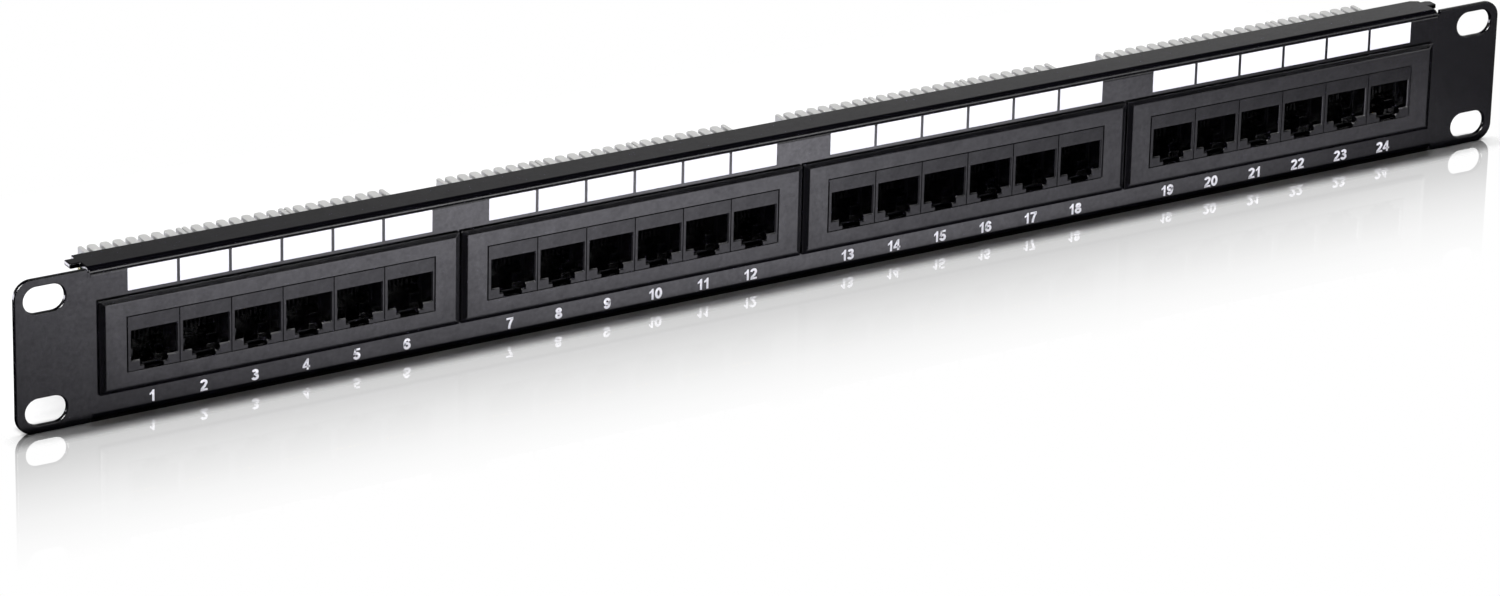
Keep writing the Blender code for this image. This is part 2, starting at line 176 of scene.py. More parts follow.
def toothed_edge(half_width, gaps, half_gap, root, tip):
    """One side of a comb: tip(x0, x1) outlines a tooth, gaps go down to root."""
    edges = [-half_width]
    for x in gaps:
        edges += [x - half_gap, x + half_gap]
    edges.append(half_width)
    teeth = list(zip(edges[::2], edges[1::2]))
    points = []
    for k, (x0, x1) in enumerate(teeth):
        if k > 0:
            points.append((x0, root))
        points += tip(x0, x1)
        if k + 1 < len(teeth):
            points.append((x1, root))
    return points


# --- mesh helpers ---------------------------------------------------------------------
def link(name, mesh, collection=LOOKS, location=(0, 0, 0)):
    obj = bpy.data.objects.new(name, mesh)
    collection.objects.link(obj)
    obj.location = Vector(location) * MM
    return obj


def to_mesh(shape, name):
    mesh = bpy.data.meshes.new(name)
    shape.to_mesh(mesh)
    shape.free()
    return mesh


def box_mesh(name, x, y, z):
    shape = bmesh.new()
    bmesh.ops.create_cube(shape, size=1.0)
    size = ((x[1] - x[0]) * MM, (y[1] - y[0]) * MM, (z[1] - z[0]) * MM)
    middle = Vector((sum(x) / 2, sum(y) / 2, sum(z) / 2)) * MM
    bmesh.ops.scale(shape, verts=shape.verts, vec=size)
    bmesh.ops.translate(shape, verts=shape.verts, vec=middle)
    return to_mesh(shape, name)


def add_prism(shape, points, low, high, plane="XZ"):
    """A closed outline in a plane, given thickness across it."""
    def place(u, v, w):
        return Vector({"XZ": (u, w, v), "YZ": (w, u, v), "XY": (u, v, w)}[plane]) * MM

    first = [shape.verts.new(place(u, v, low)) for u, v in points]
    last = [shape.verts.new(place(u, v, high)) for u, v in points]
    faces = [shape.faces.new(first), shape.faces.new(list(reversed(last)))]
    count = len(points)
    for i in range(count):
        j = (i + 1) % count
        faces.append(shape.faces.new((first[j], first[i], last[i], last[j])))
    bmesh.ops.recalc_face_normals(shape, faces=faces)


def prism_mesh(name, points, low, high, plane="XZ"):
    shape = bmesh.new()
    add_prism(shape, points, low, high, plane)
    return to_mesh(shape, name)


def skin_loops(shape, loops):
    """Joins loops of vertices in turn and caps both ends."""
    faces = []
    count = len(loops[0])
    for near, far in zip(loops, loops[1:]):
        for k in range(count):
            j = (k + 1) % count
            faces.append(shape.faces.new((near[k], near[j], far[j], far[k])))
    faces.append(shape.faces.new(loops[0]))
    faces.append(shape.faces.new(list(reversed(loops[-1]))))
    bmesh.ops.recalc_face_normals(shape, faces=faces)


def add_turned(shape, rings, sides, x=0.0, z=0.0):
    """A round solid about an axis along Y, from (radius, y) rings."""
    angles = [2 * math.pi * k / sides for k in range(sides)]
    skin_loops(shape, [
        [shape.verts.new(Vector((x + radius * math.cos(a), y, z + radius * math.sin(a))) * MM)
         for a in angles] for radius, y in rings])


def tool(name, mesh, location=(0, 0, 0)):
    obj = link(name, mesh, TOOLS, location)
    obj.hide_render = True
    return obj


def combine(target, name, mesh, location=(0, 0, 0), operation="DIFFERENCE"):
    """Cuts a tool mesh from the target, or joins it on."""
    cutter = tool(name, mesh, location)
    mod = target.modifiers.new(cutter.name, "BOOLEAN")
    mod.operation = operation
    mod.solver = "EXACT"
    mod.object = cutter


def evaluated(obj, name):
    bpy.context.view_layer.update()
    graph = bpy.context.evaluated_depsgraph_get()
    mesh = bpy.data.meshes.new_from_object(obj.evaluated_get(graph), depsgraph=graph)
    mesh.name = name
    return mesh


def round_edges(mesh, width, segments, angle, pick=None):
    """Merges coplanar faces, then rounds every edge sharper than angle (degrees)."""
    shape = bmesh.new()
    shape.from_mesh(mesh)
    bmesh.ops.remove_doubles(shape, verts=shape.verts, dist=2e-6)
    bmesh.ops.dissolve_limit(shape, angle_limit=math.radians(0.6), verts=shape.verts,
                             edges=shape.edges)
    bmesh.ops.recalc_face_normals(shape, faces=shape.faces)
    limit = math.radians(angle)
    edges = [e for e in shape.edges
             if e.is_manifold and e.calc_face_angle(0.0) > limit and (pick is None or pick(e))]
    bmesh.ops.bevel(shape, geom=edges, offset=width * MM, offset_type="OFFSET",
                    segments=segments, profile=0.5, affect="EDGES", clamp_overlap=False,
                    miter_outer="SHARP", miter_inner="SHARP")
    bmesh.ops.recalc_face_normals(shape, faces=shape.faces)
    shape.to_mesh(mesh)
    shape.free()
    return mesh


def add_piece(name, mesh, location, mat, slot, *replaced, smooth=None, weighted=True):
    """A visible piece; smooth is the angle in degrees above which edges stay sharp."""
    piece = link(name, mesh, location=location)
    if smooth:
        mesh.shade_smooth()
        mesh.set_sharp_from_angle(angle=math.radians(smooth))
        if weighted:
            mod = piece.modifiers.new("even_normals", "WEIGHTED_NORMAL")
            mod.keep_sharp = True
            mod.weight = 100
    # a mesh shared by several pieces comes here with its material already on it
    mesh.materials.clear()
    mesh.materials.append(mat)
    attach(piece, "root")
    if replaced:
        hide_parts(*replaced)


# --- shader graphs ----------------------------------------------------------------------
class Graph:
    """Short ways to make and wire shader nodes."""

    def __init__(self, tree, space=None):
        self.tree = tree
        if space:
            self.coords = self.node("ShaderNodeTexCoord").outputs[space]

    def node(self, kind, **props):
        node = self.tree.nodes.new(kind)
        for key, value in props.items():
            setattr(node, key, value)
        return node

    def put(self, socket, value):
        if isinstance(value, bpy.types.NodeSocket):
            self.tree.links.new(value, socket)
        else:
            socket.default_value = value

    def surface(self, inputs):
        shader = self.tree.nodes["Principled BSDF"]
        for name, value in inputs.items():
            self.put(shader.inputs[name], value)

    def geometry(self, output):
        return self.node("ShaderNodeNewGeometry").outputs[output]

    def split(self, vector):
        """The X, Y and Z of a vector."""
        node = self.node("ShaderNodeSeparateXYZ")
        self.put(node.inputs[0], vector)
        return [node.outputs[axis] for axis in "XYZ"]

    def noise(self, scale, detail=4.0, rough=0.55, stretch=None):
        node = self.node("ShaderNodeTexNoise")
        vector = self.coords
        if stretch:
            mapping = self.node("ShaderNodeMapping")
            self.put(mapping.inputs["Vector"], vector)
            mapping.inputs["Scale"].default_value = stretch
            vector = mapping.outputs["Vector"]
        self.put(node.inputs["Vector"], vector)
        node.inputs["Scale"].default_value = scale
        node.inputs["Detail"].default_value = detail
        node.inputs["Roughness"].default_value = rough
        return node.outputs["Fac"]

    def cells(self, scale):
        node = self.node("ShaderNodeTexVoronoi")
        self.put(node.inputs["Vector"], self.coords)
        node.inputs["Scale"].default_value = scale
        return node.outputs["Distance"]

    def ramp(self, value, span=(0.3, 0.7), to=(0.0, 1.0)):
        """Maps span to to, clamped; the default span is where most noise lies."""
        node = self.node("ShaderNodeMapRange")
        node.clamp = True
        self.put(node.inputs["Value"], value)
        for name, limit in zip(("From Min", "From Max", "To Min", "To Max"), (*span, *to)):
            self.put(node.inputs[name], limit)
        return node.outputs["Result"]

    def curve(self, value, points):
        """A value looked up on a curve given as (position, height) points."""
        node = self.node("ShaderNodeFloatCurve")
        curve = node.mapping.curves[0]
        low, high = points[0][0], points[-1][0]
        top = max(height for _, height in points)
        while len(curve.points) < len(points):
            curve.points.new(0.5, 0.5)
        for point, (position, height) in zip(curve.points, points):
            point.location = ((position - low) / (high - low), height / top)
            point.handle_type = "VECTOR"
        node.mapping.update()
        self.put(node.inputs["Value"], self.ramp(value, span=(low, high)))
        node.inputs["Factor"].default_value = 1.0
        return self.times(node.outputs["Value"], top)

    def operate(self, operation, first, *others):
        """Applies an operation to the values in turn."""
        for other in others:
            node = self.node("ShaderNodeMath", operation=operation)
            self.put(node.inputs[0], first)
            self.put(node.inputs[1], other)
            first = node.outputs[0]
        return first

    def times(self, *values):
        return self.operate("MULTIPLY", *values)

    def plus(self, *values):
        return self.operate("ADD", *values)

    def minus(self, *values):
        return self.operate("SUBTRACT", *values)

    def highest(self, *values):
        return self.operate("MAXIMUM", *values)

    def absolute(self, value):
        return self.operate("ABSOLUTE", value, 0.0)

    def blend(self, first, second, share):
        """A fixed share of the first value and the rest of the second."""
        return self.plus(self.times(first, share), self.times(second, 1 - share))

    def either(self, chance, yes, no):
        return self.plus(self.times(yes, chance), self.times(no, self.minus(1.0, chance)))

    def dot(self, first, second):
        node = self.node("ShaderNodeVectorMath", operation="DOT_PRODUCT")
        self.put(node.inputs[0], first)
        self.put(node.inputs[1], second)
        return node.outputs["Value"]

    def mix(self, factor, first, second):
        node = self.node("ShaderNodeMix", data_type="RGBA")
        self.put(node.inputs["Factor"], factor)
        for name, color in (("A", first), ("B", second)):
            linked = isinstance(color, bpy.types.NodeSocket)
            self.put(node.inputs[name], color if linked else (*color, 1.0))
        return node.outputs["Result"]

    def bump(self, height, strength, depth, normal=None):
        node = self.node("ShaderNodeBump")
        node.inputs["Strength"].default_value = strength
        node.inputs["Distance"].default_value = depth * MM
        self.put(node.inputs["Height"], height)
        if normal is not None:
            self.put(node.inputs["Normal"], normal)
        return node.outputs["Normal"]

    def edges(self, radius):
        """1 on rounded or sharp edges, 0 on flat faces."""
        bevel = self.node("ShaderNodeBevel", samples=4)
        bevel.inputs["Radius"].default_value = radius * MM
        agreement = self.dot(bevel.outputs["Normal"], self.geometry("Normal"))
        return self.ramp(agreement, span=(0.995, 0.90))

    def emission(self, strength, color=(1, 1, 1)):
        node = self.node("ShaderNodeEmission")
        node.inputs["Color"].default_value = (*color, 1)
        self.put(node.inputs["Strength"], strength)
        return node.outputs[0]

    def mix_shaders(self, factor, first, second):
        node = self.node("ShaderNodeMixShader")
        for socket, value in zip(node.inputs, (factor, first, second)):
            self.put(socket, value)
        return node.outputs[0]


def surface_material(name):
    mat = bpy.data.materials.new(name)
    mat.use_nodes = True
    return mat, Graph(mat.node_tree, "Object")


def cleared_graph(owner, space=None):
    owner.use_nodes = True
    owner.node_tree.nodes.clear()
    return Graph(owner.node_tree, space)


# --- materials ----------------------------------------------------------------------------
# gloss of the black mouldings along the panel: (x in metres, factor)
GLOSS = [(-0.25, 1.45), (-0.20, 1.35), (-0.12, 1.08), (-0.06, 0.90), (-0.01, 0.84),
         (0.04, 0.66), (0.10, 0.74), (0.14, 1.0), (0.18, 1.55), (0.22, 2.4), (0.25, 2.6)]


def patchy_gloss(graph, level, fine_scale, broad_scale, fine_share):
    """Specular level that drifts 26 % either side of a mean."""
    fine = graph.noise(scale=fine_scale, detail=2.0, rough=0.6)
    broad = graph.noise(scale=broad_scale, detail=3.0, rough=0.6)
    patch = graph.blend(fine, broad, fine_share)
    return graph.ramp(patch, to=(level * 0.74, level * 1.26))


def powder_coat():
    mat, graph = surface_material("powder_coat_black")
    cloud = graph.noise(scale=42, rough=0.6)
    base = graph.mix(graph.ramp(cloud), (0.0012, 0.0011, 0.0019), (0.0022, 0.0020, 0.0032))
    speck = graph.ramp(graph.cells(scale=900), span=(0.10, 0.02))
    speck_strength = 0.30
    base = graph.mix(graph.times(speck, speck_strength), base, (0.012, 0.012, 0.014))
    # painted highlight: patches of the rounded edges are lightened towards a paler grey
    edge_highlight_patches = graph.ramp(graph.noise(scale=700), span=(0.35, 0.7), to=(0.0, 0.25))
    painted_edge_highlight = graph.times(graph.edges(radius=0.4), edge_highlight_patches)
    base = graph.mix(painted_edge_highlight, base, (0.010, 0.010, 0.012))
    dull = graph.noise(scale=160, detail=5.0, rough=0.65)
    peel = graph.bump(graph.noise(scale=560, detail=3.0, rough=0.5), strength=0.12, depth=0.05)
    fine = graph.noise(scale=2300, detail=3.0, rough=0.6)
    graph.surface({
        "Base Color": base,
        "Roughness": graph.ramp(dull, span=(0.25, 0.75), to=(0.15, 0.21)),
        "Specular IOR Level": patchy_gloss(graph, level=0.5, fine_scale=820,
                                           broad_scale=260, fine_share=0.6),
        "Normal": graph.bump(fine, strength=0.10, depth=0.02, normal=peel),
        "IOR": 1.5,
    })
    return mat


def moulded(name, dark, light, rough, shine, grain, grain_strength, edge_highlight_colour,
            edge_highlight_gain=0.4, along_x=True):
    """Grained plastic with a painted highlight on its edges; along_x makes its gloss follow
    GLOSS.
    """
    mat, graph = surface_material(name)
    mottle = graph.noise(scale=230, detail=5.0, rough=0.7)
    cloud = graph.noise(scale=55, detail=3.0, rough=0.5, stretch=(0.35, 1, 1))
    tone = graph.blend(graph.ramp(mottle), graph.ramp(cloud), share=0.6)
    base = graph.mix(tone, dark, light)
    # painted highlight: patches of the rounded edges are lightened towards a paler colour
    edge_highlight_patches = graph.ramp(graph.noise(scale=900, detail=3.0), span=(0.4, 0.75),
                      to=(0.0, edge_highlight_gain))
    base = graph.mix(graph.times(graph.edges(radius=0.25), edge_highlight_patches), base, edge_highlight_colour)
    pores = graph.bump(graph.cells(scale=grain), strength=grain_strength, depth=0.02)
    fine = graph.noise(scale=grain * 1.7, detail=2.0, rough=0.5)
    gloss = patchy_gloss(graph, level=shine, fine_scale=900, broad_scale=210, fine_share=0.55)
    if along_x:
        x = graph.split(graph.geometry("Position"))[0]
        gloss = graph.times(gloss, graph.curve(x, GLOSS))
    graph.surface({
        "Base Color": base,
        "Roughness": graph.ramp(mottle, span=(0.25, 0.75), to=(rough - 0.04, rough + 0.05)),
        "Normal": graph.bump(fine, strength=grain_strength * 0.6, depth=0.015, normal=pores),
        "IOR": 1.5,
        "Specular IOR Level": gloss,
    })
    return mat


def ink_white():
    mat, graph = surface_material("screen_print_white")
    grain = graph.noise(scale=1500, rough=0.6)
    cloud = graph.noise(scale=90, rough=0.6)
    thin = graph.ramp(graph.cells(scale=1300), span=(0.16, 0.03))
    thin_strength = 0.25
    base = graph.mix(graph.ramp(cloud), (0.80, 0.80, 0.81), (0.87, 0.87, 0.875))
    graph.surface({
        "Base Color": graph.mix(graph.times(thin, thin_strength), base, (0.60, 0.60, 0.62)),
        "Roughness": graph.ramp(grain, to=(0.50, 0.64)),
        "Normal": graph.bump(grain, strength=0.12, depth=0.02),
    })
    return mat


def solder_mask():
    """Green board over a woven cloth; the board's edges are bare glass fibre."""
    mat, graph = surface_material("solder_mask_green")
    threads = []
    for axis in "XZ":
        weave = graph.node("ShaderNodeTexWave", wave_type="BANDS", bands_direction=axis)
        graph.put(weave.inputs["Vector"], graph.coords)
        weave.inputs["Scale"].default_value = 420
        weave.inputs["Distortion"].default_value = 1.0
        threads.append(weave.outputs["Fac"])
    cloth = graph.times(*threads)
    cloth_strength = 0.18
    cloud = graph.noise(scale=80)
    base = graph.mix(graph.ramp(cloud), (0.010, 0.085, 0.036), (0.016, 0.115, 0.050))
    base = graph.mix(graph.times(cloth, cloth_strength), base, (0.03, 0.17, 0.075))
    normal_y = graph.split(graph.geometry("Normal"))[1]
    side = graph.ramp(graph.absolute(normal_y), span=(0.75, 0.45))
    side_roughness = 0.4                    # added on the bare edges
    strands = graph.noise(scale=900, rough=0.6, stretch=(1, 8, 1))
    fibre = graph.mix(graph.ramp(strands), (0.32, 0.30, 0.16), (0.46, 0.43, 0.25))
    relief = graph.plus(cloth, graph.noise(scale=1400, detail=3.0))
    graph.surface({
        "Base Color": graph.mix(side, base, fibre),
        "Roughness": graph.plus(graph.ramp(cloud, to=(0.24, 0.34)),
                                graph.times(side, side_roughness)),
        "Normal": graph.bump(relief, strength=0.10, depth=0.02),
    })
    return mat


def copper_under_mask():
    mat, graph = surface_material("copper_track_green")
    cloud = graph.noise(scale=600)
    graph.surface({
        "Base Color": graph.mix(graph.ramp(cloud), (0.030, 0.19, 0.075), (0.045, 0.24, 0.095)),
        "Roughness": graph.ramp(cloud, to=(0.22, 0.32)),
        "Normal": graph.bump(cloud, strength=0.10, depth=0.02),
    })
    return mat


def metal(name, dark, light, rough, brushed=(1, 1, 1), scale=1200):
    mat, graph = surface_material(name)
    grain = graph.noise(scale=scale, rough=0.6, stretch=brushed)
    stain = graph.noise(scale=260, detail=3.0)
    graph.surface({
        "Base Color": graph.mix(graph.ramp(stain), dark, light),
        "Metallic": 1.0,
        "Roughness": graph.ramp(grain, span=(0.25, 0.75), to=(rough - 0.07, rough + 0.10)),
        "Normal": graph.bump(grain, strength=0.12, depth=0.01),
    })
    return mat


PANEL_MAT = powder_coat()
BEZEL_MAT = moulded("bezel_plastic_black", dark=(0.0010, 0.0009, 0.0017),
                    light=(0.0022, 0.0020, 0.0032), rough=0.20, shine=0.46, grain=1700,
                    grain_strength=0.35, edge_highlight_colour=(0.008, 0.008, 0.009))
JACK_MAT = moulded("jack_plastic_black", dark=(0.0010, 0.0009, 0.0017),
                   light=(0.0020, 0.0018, 0.0030), rough=0.20, shine=0.31, grain=2300,
                   grain_strength=0.20, edge_highlight_colour=(0.010, 0.010, 0.011))
IDC_MAT = moulded("idc_plastic_grey", dark=(0.40, 0.40, 0.397), light=(0.47, 0.47, 0.463),
                  rough=0.48, shine=0.5, grain=2000, grain_strength=0.16,
                  edge_highlight_colour=(0.58, 0.58, 0.57), edge_highlight_gain=0.5, along_x=False)
INK_MAT = ink_white()
BOARD_MAT = solder_mask()
TRACK_MAT = copper_under_mask()
GOLD_MAT = metal("gold_flash", dark=(0.78, 0.53, 0.20), light=(0.90, 0.66, 0.30), rough=0.22,
                 brushed=(1, 6, 1))
TIN_MAT = metal("tin_plate", dark=(0.58, 0.58, 0.57), light=(0.72, 0.72, 0.71), rough=0.34)
SOLDER_MAT = metal("solder", dark=(0.52, 0.52, 0.53), light=(0.68, 0.68, 0.70), rough=0.24,
                   scale=700)


# --- the folded sheet -------------------------------------------------------------------
def sheet_profile(steps=14):
    """The outer face in section, as (y, z) points from lower flange to upper flange."""
    half = PANEL_H / 2
    upper = [(0.0, FOLD_Z)]
    for i in range(1, steps + 1):
        angle = math.pi / 2 * i / steps
        upper.append((BEND_R * (1 - math.cos(angle)), FOLD_Z + BEND_R * math.sin(angle)))
    upper += [(TAB_Y[0], half), (TAB_Y[1], half), (FLANGE_DEPTH, half)]
    return [(y, -z) for y, z in reversed(upper)] + upper


def sheet_skin():
    """The outer face without thickness: folded front, flat ears and end tabs."""
    shape = bmesh.new()

    def pull(edges, vector):
        made = bmesh.ops.extrude_edge_only(shape, edges=edges)["geom"]
        verts = [item for item in made if isinstance(item, bmesh.types.BMVert)]
        bmesh.ops.translate(shape, verts=verts, vec=[c * MM for c in vector])

    def pull_where(pick, vector):
        pull([e for e in shape.edges if all(pick(v) for v in e.verts)], vector)

    def at(vert, **place):
        return all(abs(getattr(vert.co, axis) - value * MM) < 1e-6
                   for axis, value in place.items())

    row = [shape.verts.new((-FLANGE_X * MM, y * MM, z * MM)) for y, z in sheet_profile()]
    pull([shape.edges.new(pair) for pair in zip(row, row[1:])], (2 * FLANGE_X, 0, 0))
    for side in (-1, 1):
        flange_x = side * FLANGE_X
        ear_x = side * (FLANGE_X + RELIEF_W)
        pull_where(lambda v: at(v, x=flange_x, y=0) and abs(v.co.z) < (FOLD_Z + 0.001) * MM,
                   (side * RELIEF_W, 0, 0))
        pull_where(lambda v: at(v, x=ear_x, y=0), (side * PANEL_W / 2 - ear_x, 0, 0))
        for up in (-1, 1):
            # the ear up to full height, then the tab at the end of the flange
            pull_where(lambda v: at(v, y=0, z=up * FOLD_Z)
                       and side * v.co.x > (FLANGE_X + RELIEF_W - 0.01) * MM,
                       (0, 0, up * BEND_R))
            pull_where(lambda v: at(v, x=flange_x, z=up * PANEL_H / 2)
                       and (TAB_Y[0] - 0.01) * MM < v.co.y < (TAB_Y[1] + 0.01) * MM,
                       (side * TAB_LENGTH, 0, 0))
    bmesh.ops.recalc_face_normals(shape, faces=shape.faces)
    front = max(shape.faces, key=lambda face: face.calc_area())
    if front.normal.y > 0:
        bmesh.ops.reverse_faces(shape, faces=shape.faces)
    return to_mesh(shape, "sheet")


def cut_sheet(sheet):
    """Module windows, mounting slots, round ear corners and slanted tab ends."""
    window = box_mesh("window", centred(CUTOUT_W), SHEET_CUT_Y, centred(CUTOUT_H))
    for i, module in enumerate(MODULES):
        combine(sheet, f"cut_window_{i}", window, (module.x, FRONT, module.z))
    slot = prism_mesh("slot", stadium(SLOT_L, SLOT_W), *SHEET_CUT_Y)
    radius = EAR_CORNER_R
    corner = [(CLEAR, CLEAR), (-radius, CLEAR), *arc(-radius, -radius, radius, 90, 0, 20),
              (CLEAR, -radius)]
    for side, up in CORNERS:
        combine(sheet, f"cut_slot_{side}_{up}", slot, (side * SLOT_X, FRONT, up * SLOT_Z))
        points = [(side * x, up * z) for x, z in corner]
        combine(sheet, f"cut_corner_{side}_{up}", prism_mesh("corner", points, *SHEET_CUT_Y),
                (side * PANEL_W / 2, FRONT, up * PANEL_H / 2))
    # the slanted cut is made at the right-hand (+X) end only
    (x0, y0), (x1, y1) = TAB_CHAMFER
    slope = (y1 - y0) / (x1 - x0)
    lead = 0.4
    clip = [(x0 - lead, y0 - lead * slope), (x1 + CLEAR, y1 + CLEAR * slope),
            (x1 + CLEAR, y0 + CLEAR), (x0 - lead, y0 + CLEAR)]
    combine(sheet, "cut_clip", prism_mesh("clip", clip, -PANEL_H, PANEL_H, "XY"),
            (0, FRONT, 0))


def off_slit_root(edge):
    """False for the short edges at the root of the slit between ear and flange."""
    return not all(FLANGE_X - 0.01 < abs(v.co.x) / MM < FLANGE_X + RELIEF_W + 0.01
                   and abs(abs(v.co.z) / MM - FOLD_Z) < 0.06 for v in edge.verts)


def build_sheet():
    blank = tool("sheet_blank", sheet_skin(), (0, FRONT, 0))
    solid = blank.modifiers.new("thickness", "SOLIDIFY")
    solid.thickness = SHEET_T * MM
    solid.offset = -1.0
    solid.use_even_offset = True
    cut_sheet(blank)
    mesh = evaluated(blank, "front_sheet")
    round_edges(mesh, 0.34, 4, 30.0, off_slit_root)
    # small blocks that fill the roots of the slits
    overlap = 0.15
    for n, (side, up) in enumerate(CORNERS, 1):
        x = sorted((side * (FLANGE_X - overlap), side * (FLANGE_X + RELIEF_W + overlap)))
        z = sorted((up * (FOLD_Z - 0.25), up * (FOLD_Z + 1.45)))
        add_piece(f"relief_root_{n}", box_mesh("relief_root", x, (0.012, 1.3), z),
                  (0, FRONT, 0), PANEL_MAT, "panel_paint")
    add_piece("front_sheet", mesh, (0, FRONT, 0), PANEL_MAT, "panel_paint", "front_panel",
              smooth=45)


# --- bezels -----------------------------------------------------------------------------
def bezel_blank():
    """The raised rim, tapering to a face that sits slightly high."""
    sections = ((BASE_Y, BASE_W, BASE_H, 0.0), (RIM_Y, BASE_W, BASE_H, 0.0),
                (FACE_Y, FACE_W, FACE_H, FACE_RISE))    # y, width, height, rise
    around = ((-1, -1), (1, -1), (1, 1), (-1, 1))
    shape = bmesh.new()
    skin_loops(shape, [
        [shape.verts.new(Vector((side * width / 2, y, up * height / 2 + rise)) * MM)
         for side, up in around] for y, width, height, rise in sections])
    return tool("bezel_blank", to_mesh(shape, "bezel_blank"))


def peg_mesh():
    """A round peg along Y whose rear end is rounded over."""
    start, end = PEG_Y
    rings = [(PEG_R, start), (PEG_R, end - PEG_DOME)]
    for i in range(1, 6):
        angle = math.pi / 2 * i / 6
        rings.append((PEG_R - PEG_DOME * (1 - math.cos(angle)),
                      end - PEG_DOME + PEG_DOME * math.sin(angle)))
    rings.append((PEG_R - PEG_DOME, end))
    shape = bmesh.new()
    add_turned(shape, rings, sides=32)
    return to_mesh(shape, "peg")


def bezel_mesh():
    bezel = bezel_blank()
    skirt = box_mesh("skirt", centred(SKIRT_W), (FACE_Y + 0.8, SKIRT_Y), centred(SKIRT_H))
    combine(bezel, "skirt", skirt, operation="UNION")
    # barbs that hook behind the sheet, in (y, z), and pegs for the board
    top = SKIRT_H / 2
    barb = [(SHEET_T + 0.3, top - 0.5), (SHEET_T + 0.3, top + BARB_H),
            (SHEET_T + 0.9, top + BARB_H), (SHEET_T + 4.2, top - 0.5)]
    for side, up in CORNERS:
        points = [(y, up * z) for y, z in barb]
        combine(bezel, f"hook_{side}_{up}", prism_mesh("hook", points, *centred(BARB_W), "YZ"),
                (side * BARB_X, 0, 0), "UNION")
        combine(bezel, f"peg_{side}_{up}", peg_mesh(), (side * PEG_X, 0, up * PEG_Z), "UNION")
    combine(bezel, "bezel_window",
            box_mesh("bezel_window", centred(WINDOW_W), (FACE_Y - CLEAR, SKIRT_Y + CLEAR),
                     centred(WINDOW_H)))
    combine(bezel, "skirt_room",
            box_mesh("skirt_room", centred(WINDOW_W), (SKIRT_ROOM_Y, SKIRT_Y + CLEAR),
                     centred(SKIRT_ROOM_H)))
    # slits either side of every barb
    for side, up in CORNERS:
        z = (WINDOW_H / 2 - 1.0, top + CLEAR)
        if up < 0:
            z = (-z[1], -z[0])
        for edge in (-1, 1):
            slit = box_mesh("slit", centred(SLIT_W), (SHEET_T + 0.8, SKIRT_Y + CLEAR), z)
            x = side * BARB_X + edge * (BARB_W + SLIT_W + 0.6) / 2
            combine(bezel, f"slit_{side}_{up}_{edge}", slit, (x, 0, 0))
    return round_edges(evaluated(bezel, "bezel_frame"), 0.17, 3, 20.0)


def build_bezels():
    mesh = bezel_mesh()
    for i, module in enumerate(MODULES, 1):
        add_piece(f"bezel_frame_{i}", mesh, (module.x, FRONT, module.z), BEZEL_MAT,
                  "bezel_plastic", f"bezel_{i}", smooth=50)


# --- jacks ------------------------------------------------------------------------------
def jack_mesh():
    jack = tool("jack_blank", box_mesh("jack_blank", centred(JACK_W), JACK_Y, centred(JACK_H)))
    # the mouth narrows in two steps and runs out through the bottom
    wide, step1, step2 = OPEN_W / 2, STEP1_W / 2, STEP2_W / 2
    low = -JACK_H / 2 - 1.0
    left = [(-wide, OPEN_TOP), (-wide, OPEN_SHELF), (-step1, OPEN_SHELF), (-step1, STEP1_Z),
            (-step2, STEP1_Z), (-step2, low)]
    mouth = left + [(-x, z) for x, z in reversed(left)]
    combine(jack, "mouth", prism_mesh("mouth", mouth, FACE_Y - 1.0, LIP_Y + 0.2))
    # chamfers on the front edges of the four ledges and of the right-hand jamb
    lap = 0.02
    ledges = ((-wide - lap, -step1, OPEN_SHELF), (step1, wide + lap, OPEN_SHELF),
              (-step1 - lap, -step2, STEP1_Z), (step2, step1 + lap, STEP1_Z))   # x0, x1, z
    for n, (x0, x1, z) in enumerate(ledges):
        wedge = [(FACE_Y - 0.28, z - 0.85), (FACE_Y + 0.315, z + lap), (FACE_Y - 0.28, z + lap)]
        combine(jack, f"wedge_{n}", prism_mesh("wedge", wedge, x0, x1, "YZ"))
    jamb = [(wide - 0.01, FACE_Y + 0.36), (wide + 0.62, FACE_Y - 0.27),
            (wide - 0.01, FACE_Y - 0.27)]
    combine(jack, "jamb", prism_mesh("jamb", jamb, OPEN_SHELF - 0.2, OPEN_TOP, "XY"))
    plug_y = (RELIEF_CAVITY_Y - 0.2, CAVITY_Y)
    cavities = (("relief", RELIEF_CAVITY_W, (LIP_Y, RELIEF_CAVITY_Y), RELIEF_CAVITY_Z),
                ("guide", PLUG_W, plug_y, PLUG_Z),
                ("latch", LATCH_W, plug_y, (LATCH_Z, PLUG_Z[0] + 0.2)))
    for name, width, y, z in cavities:
        combine(jack, name, box_mesh(name, centred(width), y, z))
    return round_edges(evaluated(jack, "jack_body"), 0.08, 2, 30.0)


def spring_path(x):
    """One contact wire, from its foot at the rear, along the roof, round the
    front bend and back down into the plug's space."""
    roof_z = 4.05
    path = [(x, 12.2, roof_z), (x, 9.0, roof_z), (x, 4.4, roof_z)]
    path += [(x, y, z) for y, z in arc(3.6, 3.35, 0.70, 90, 295, 8)]
    end_y, end_z, most_sag = 10.9, -1.75, 0.30
    _, last_y, last_z = path[-1]
    for t in (0.12, 0.35, 0.6, 0.85, 1.0):
        sag = most_sag * math.sin(math.pi * t)
        path.append((x, last_y + (end_y - last_y) * t, last_z + (end_z - last_z) * t - sag))
    return path


def add_wire(shape, path, section):
    """A closed section carried along a path that keeps to one X."""
    points = [Vector(p) for p in path]
    side = Vector((1, 0, 0))
    loops = []
    for i, point in enumerate(points):
        ahead = points[min(i + 1, len(points) - 1)]
        tangent = (ahead - points[max(i - 1, 0)]).normalized()
        normal = side.cross(tangent).normalized()
        loops.append([shape.verts.new((point + side * u + normal * v) * MM)
                      for u, v in section])
    skin_loops(shape, loops)


def springs_mesh():
    section = oval_arc(0, 0, 0.225, 0.17, 0, 360, 10)[:-1]
    shape = bmesh.new()
    for x in WIRE_X:
        add_wire(shape, spring_path(x), section)
    return to_mesh(shape, "contact_springs")


